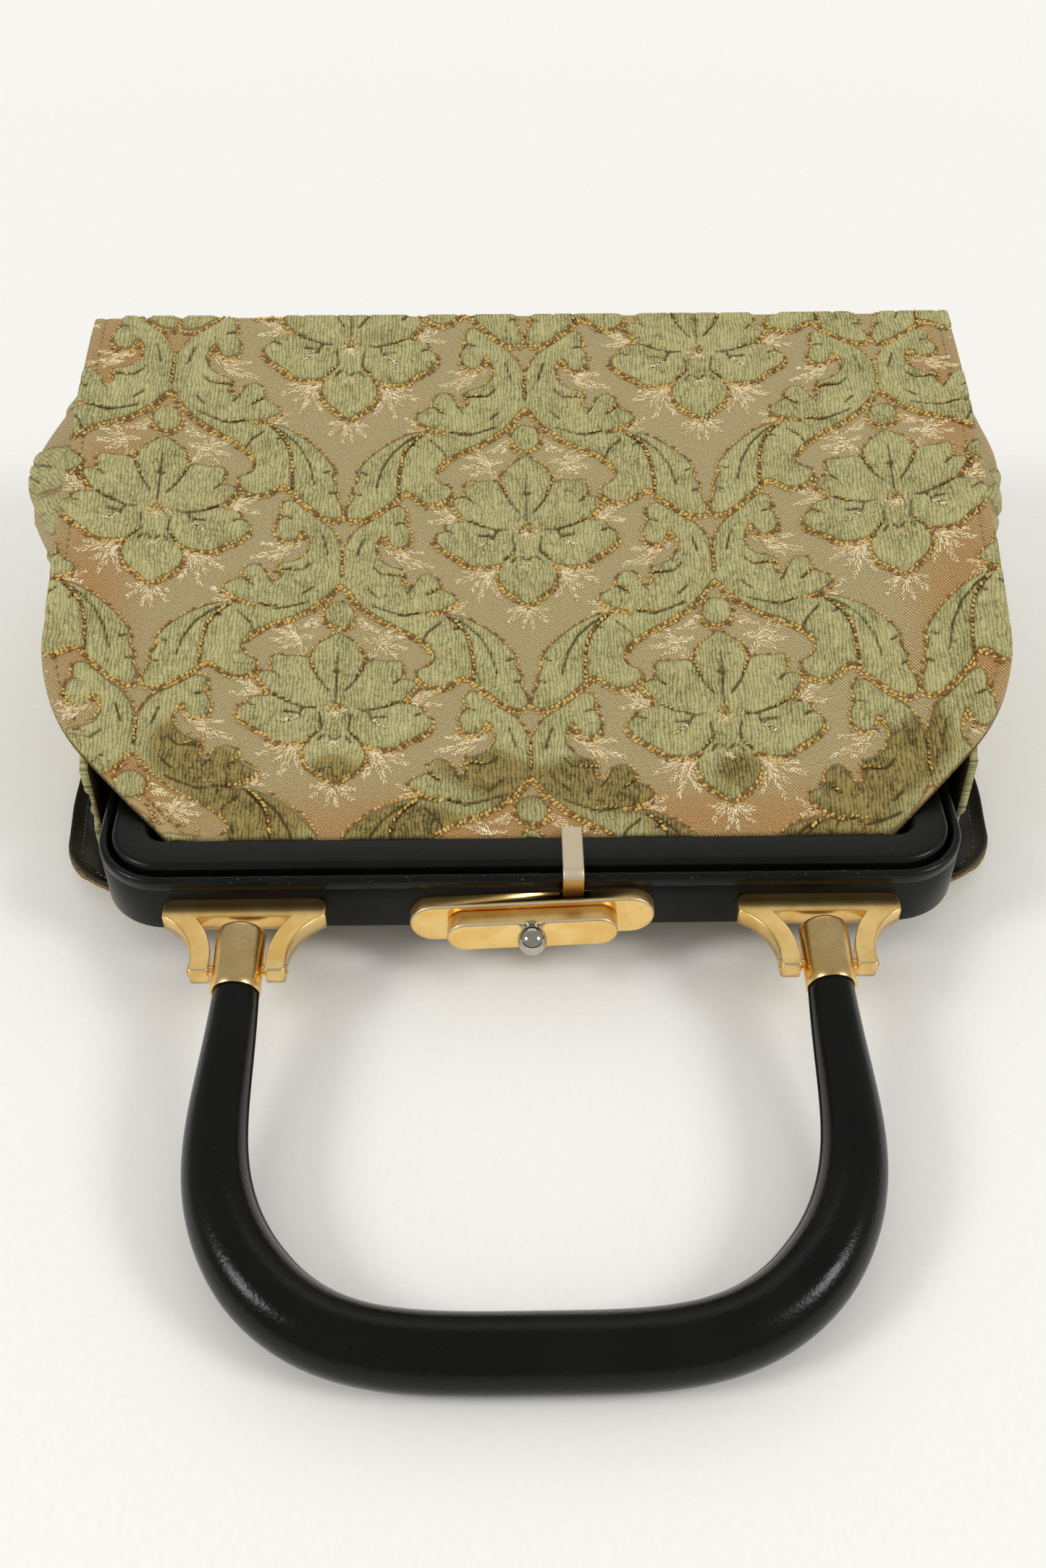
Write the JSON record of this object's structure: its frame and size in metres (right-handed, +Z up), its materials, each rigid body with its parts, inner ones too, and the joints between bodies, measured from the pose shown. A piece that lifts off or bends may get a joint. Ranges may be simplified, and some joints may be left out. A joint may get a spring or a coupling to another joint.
{
  "type": "velvet handbag",
  "caption": "Frame handbag of damask velvet with a black leather frame and handle, gold brackets and a slide lock; it lies on its back and opens on hinged frame arms.",
  "frame": {"origin": "middle of the back panel's outer face, on the surface that the bag lies on", "axes": "+X across the bag, +Y from its mouth to its bottom, +Z up through the front panel"},
  "size_m": [0.3252, 0.3406, 0.1],
  "materials": {
    "velvet": "cut velvet damask on satin",
    "leather": "smooth black calf, soft sheen",
    "satin": "satin lining",
    "gold": "polished gilt with light wear",
    "silver": "worn silvery plate",
    "steel": "plain"
  },
  "bodies": {
    "bag": {"front_panel": "velvet", "front_panel_fold": "velvet", "back_panel": "velvet", "back_facing": "leather", "bottom_panel": "velvet", "left_gusset": "velvet", "right_gusset": "velvet", "lining": "satin", "rear_frame_cover": "leather", "rear_frame_strip": "steel", "left_hinge_pin": "steel", "right_hinge_pin": "steel", "lock_case": "gold", "lock_rivets": "steel", "left_bracket": "gold", "right_bracket": "gold", "bracket_rivets": "steel", "left_pivot_pin": "gold", "right_pivot_pin": "gold"},
    "front_jaw": {"front_panel_top": "velvet", "front_frame_cover": "leather", "front_frame_bar": "steel", "hasp": "silver"},
    "slide": {"lock_slide": "gold", "lock_knob": "silver"},
    "handle": {"left_ferrule": "gold", "right_ferrule": "gold", "handle_grip": "leather", "handle_core": "steel"}
  },
  "joints": [
    {"name": "frame_hinge", "type": "hinge", "parent": "bag", "child": "front_jaw", "pos_m": [0, -0.0285, 0.0244], "axis": [-1, 0, 0], "range_deg": [0, 45], "deforming": ["front_panel_fold", "left_gusset", "right_gusset"]},
    {"name": "lock_slide", "type": "slide", "parent": "bag", "child": "slide", "axis": [0.9986, 0, 0.0523], "range_m": [-0.0045, 0]},
    {"name": "handle_swing", "type": "hinge", "parent": "bag", "child": "handle", "pos_m": [0, -0.1247, 0.023], "axis": [-1, 0, 0], "range_deg": [-90, 130]}
  ]
}
